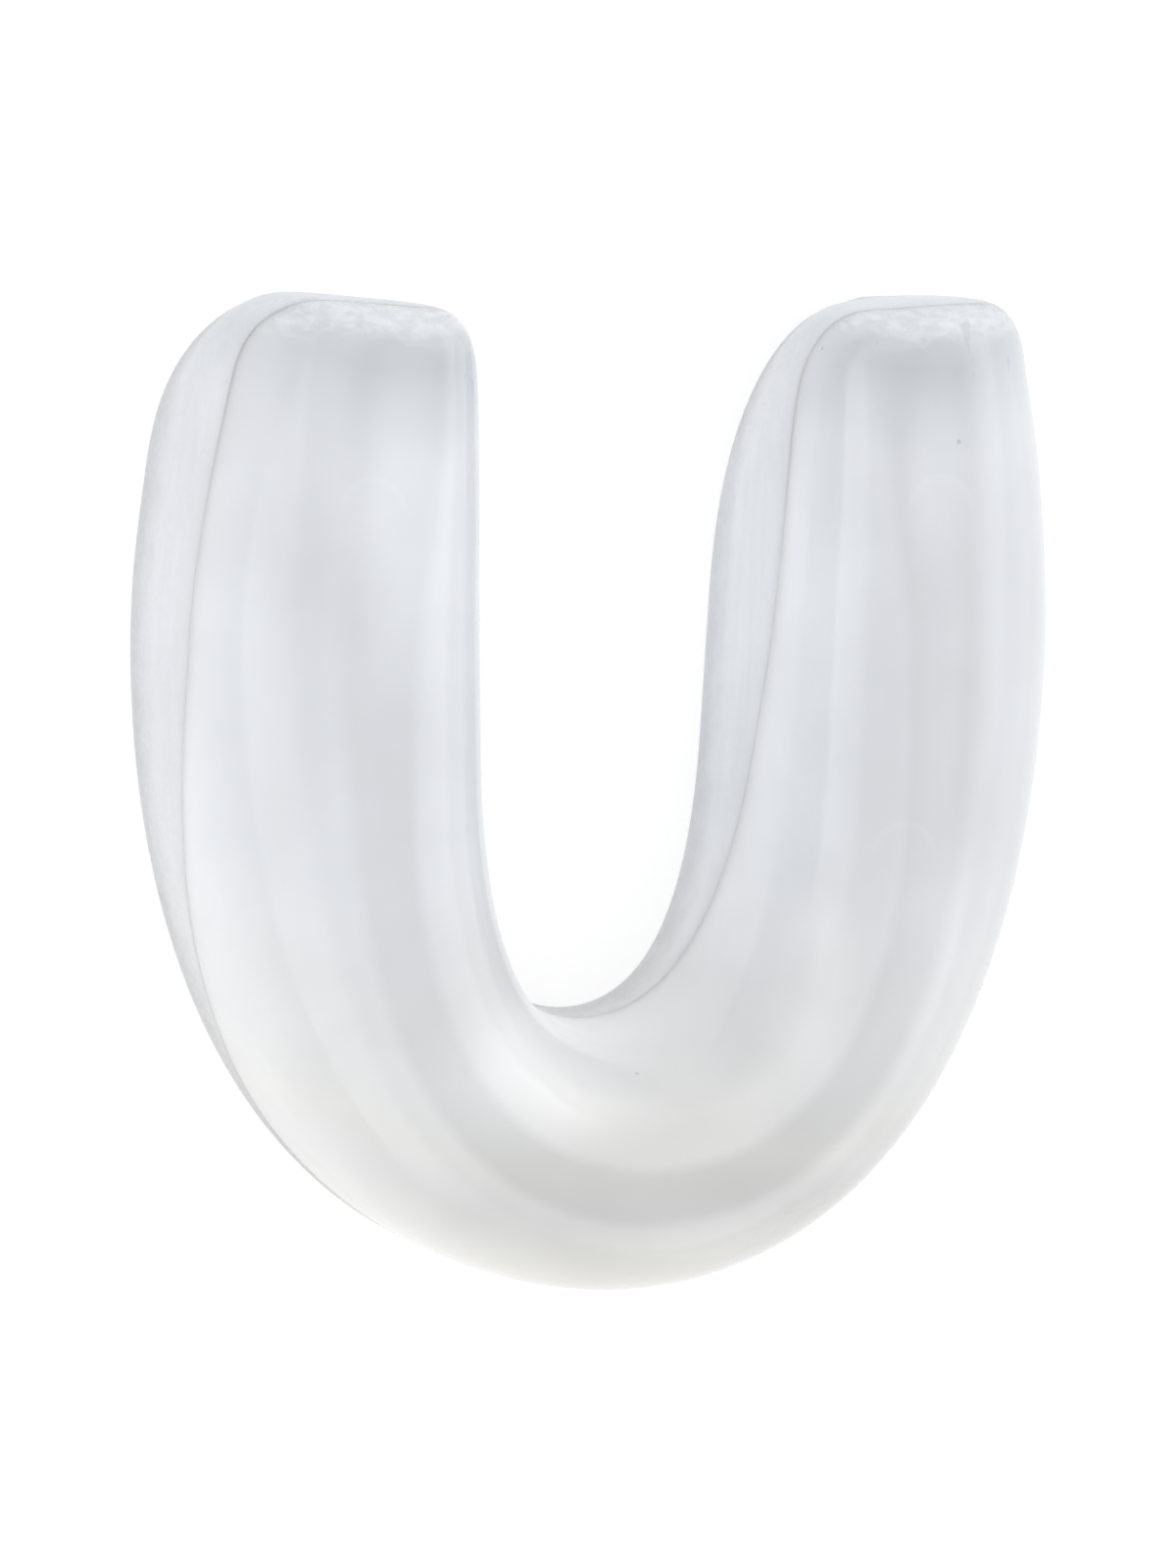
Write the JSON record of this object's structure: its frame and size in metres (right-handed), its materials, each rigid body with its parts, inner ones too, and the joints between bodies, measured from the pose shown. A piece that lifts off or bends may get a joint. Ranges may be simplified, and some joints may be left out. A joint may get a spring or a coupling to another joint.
{
  "type": "cheek retractor",
  "caption": "Soft translucent U-shaped silicone cheek retractor with a hollow back, closed round arm ends and a springy crown.",
  "frame": {"origin": "centre of the bounding box in plan, on the rear rim that the part lies on", "axes": "+Z out of the glossy face, +Y along the arms to their closed ends, +X to the right arm as seen from the glossy face"},
  "size_m": [0.0474, 0.0512, 0.0152],
  "materials": {
    "shell_silicone": "milky translucent silicone, glossy moulded surface",
    "liner_silicone": "milky translucent silicone, frosted and lightly scratched"
  },
  "bodies": {
    "left_half": {"outer_shell_left": "shell_silicone", "inner_liner_left": "liner_silicone"},
    "right_half": {"outer_shell_right": "shell_silicone", "inner_liner_right": "liner_silicone"}
  },
  "joints": [
    {"name": "bow_flex", "type": "hinge", "parent": "left_half", "child": "right_half", "pos_m": [0, -0.01882, 0], "axis": [0, 0, 1], "range_deg": [-8, 12], "stiffness_Nm_per_rad": 0.3}
  ]
}
